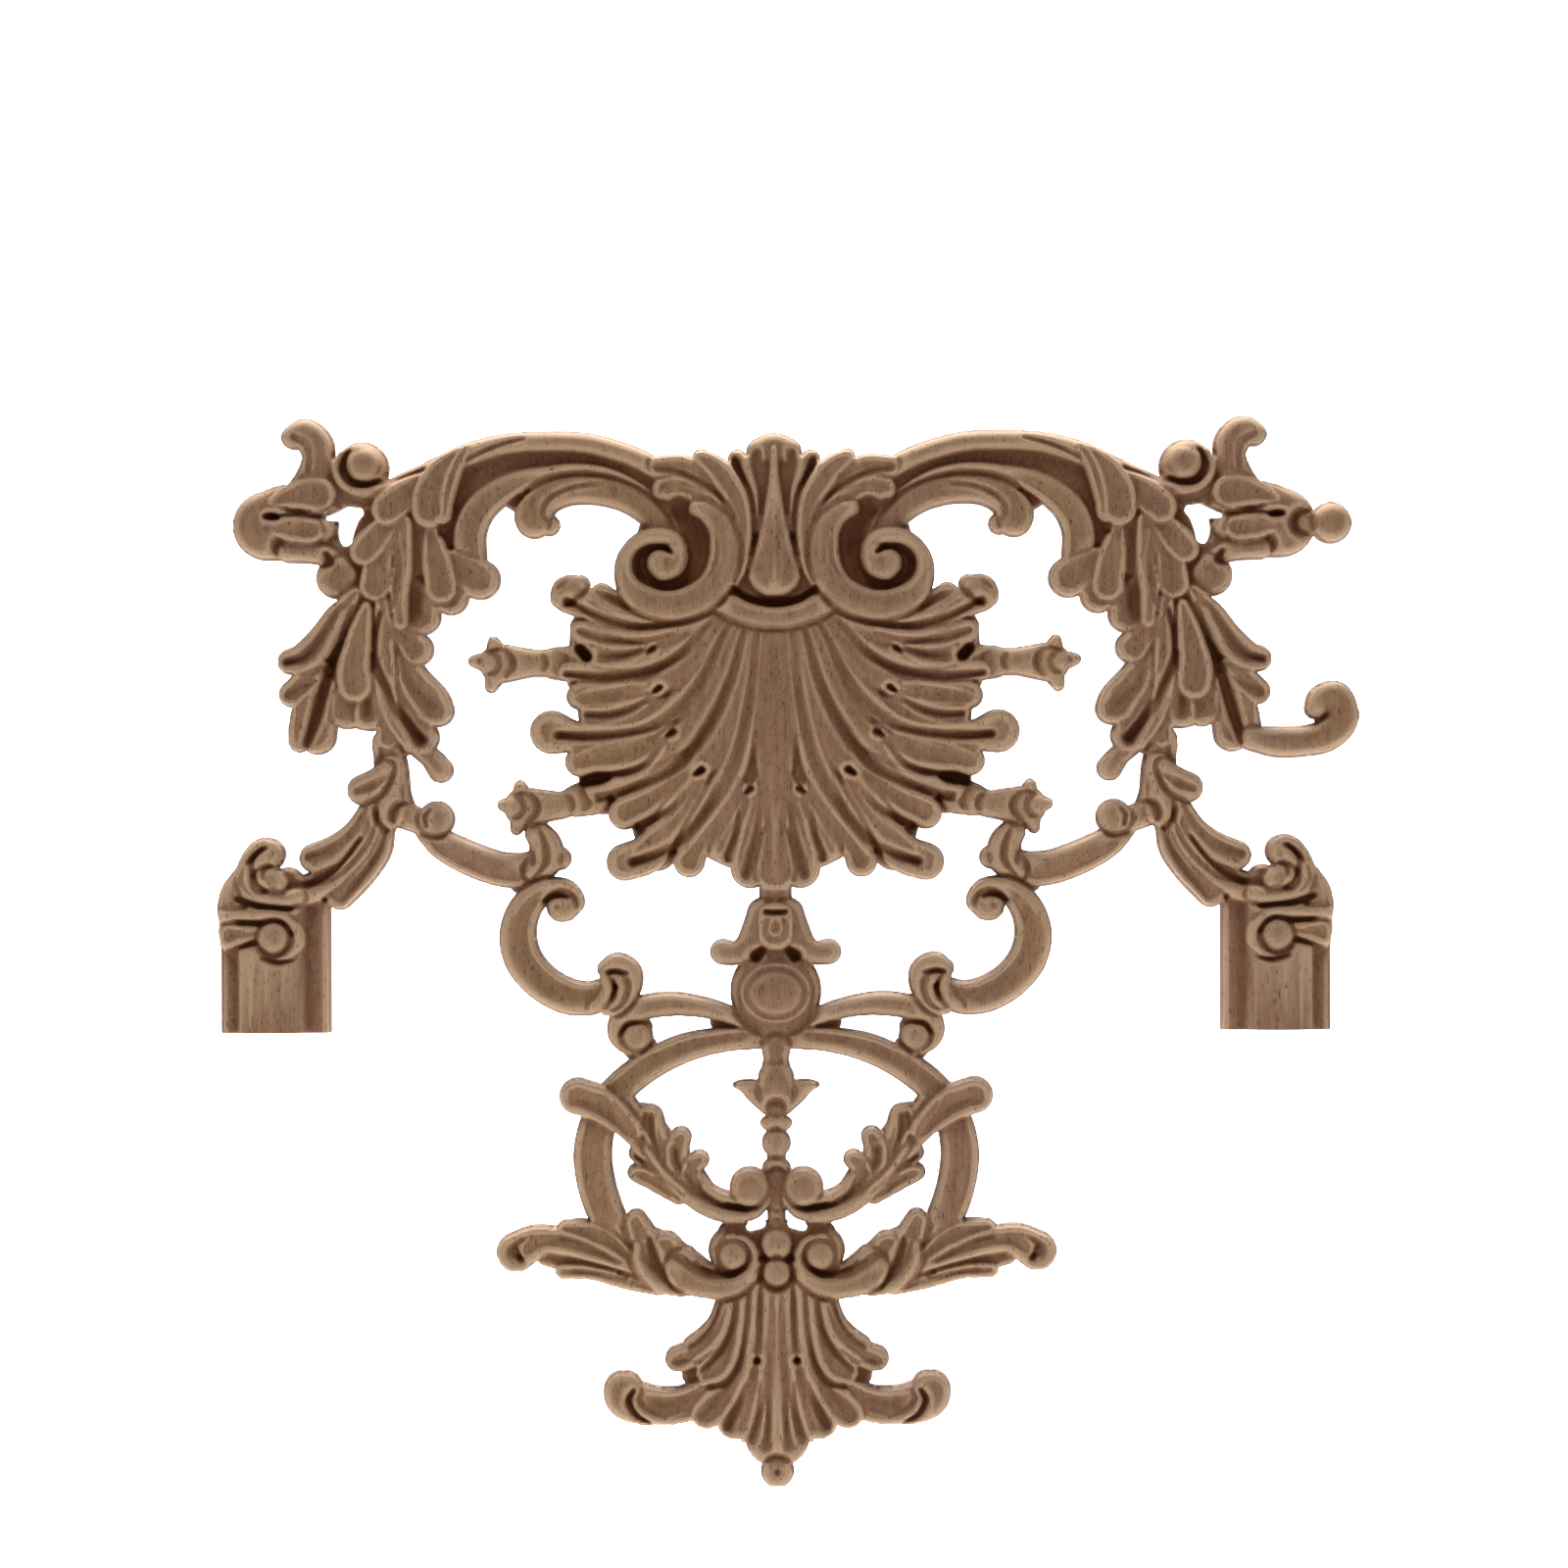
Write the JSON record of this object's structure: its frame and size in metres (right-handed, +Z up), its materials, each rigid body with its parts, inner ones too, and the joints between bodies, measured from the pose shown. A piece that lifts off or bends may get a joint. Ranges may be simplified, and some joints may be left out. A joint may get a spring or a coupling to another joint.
{
  "type": "carved applique",
  "caption": "Pierced carved wooden applique: a scallop shell between acanthus scrolls, over an oval frame and a pendant leaf; flat at the back.",
  "frame": {"origin": "on the flat back, on the middle line, behind the shell", "axes": "+X to the right seen from the front, +Z up, the carved front faces -Y and the flat back faces +Y"},
  "size_m": [0.3503, 0.0175, 0.3281],
  "materials": {
    "wood": "unfinished, carved and lightly sanded"
  },
  "bodies": {
    "root": {"carved_applique": "wood"}
  },
  "joints": []
}
